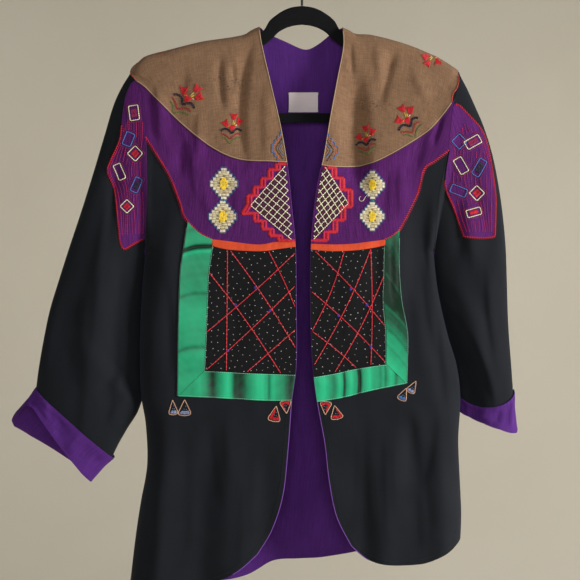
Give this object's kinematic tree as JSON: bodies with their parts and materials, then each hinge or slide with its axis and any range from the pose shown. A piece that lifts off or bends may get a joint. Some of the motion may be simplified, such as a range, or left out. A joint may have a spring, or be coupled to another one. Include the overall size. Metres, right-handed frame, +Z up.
{
  "type": "embroidered cotton jacket on a clothes hanger",
  "caption": "Open-fronted black cotton jacket with a linen yoke, purple embroidered band, satin-framed panels and turned cuffs, on a flocked hanger.",
  "frame": {"origin": "the point of the hook that rests on a rail", "axes": "+Z up, the jacket's front faces -Y, +X to the right of a viewer who faces that front"},
  "size_m": [0.6882, 0.0697, 0.8715],
  "materials": {
    "black_cotton": "matt plain weave",
    "purple_lining": "soft plain weave",
    "purple_cotton": "slubbed plain weave, embroidered",
    "natural_linen": "natural open plain weave, embroidered",
    "green_satin": "glossy satin",
    "orange_cotton": "plain weave",
    "spangled_black": "plain weave with small sewn dots and couched cord",
    "woven_label": "woven tape, bare",
    "black_flock": "short flock on a moulded core",
    "black_wire": "smooth"
  },
  "bodies": {
    "root": {"hanger": "black_flock", "hook": "black_wire", "front_left": "black_cotton", "front_right": "black_cotton", "back": "black_cotton", "sleeve_left": "black_cotton", "sleeve_right": "black_cotton", "lining_back": "purple_lining", "cuff_left": "purple_lining", "cuff_right": "purple_lining", "yoke_left": "natural_linen", "yoke_right": "natural_linen", "yoke_back": "natural_linen", "band_left": "purple_cotton", "band_right": "purple_cotton", "patch_left": "purple_cotton", "patch_right": "purple_cotton", "binding_left": "orange_cotton", "binding_right": "orange_cotton", "panel_left": "spangled_black", "panel_right": "spangled_black", "frame_side_left": "green_satin", "frame_side_right": "green_satin", "frame_foot_left": "green_satin", "frame_foot_right": "green_satin", "label": "woven_label"}
  },
  "joints": []
}
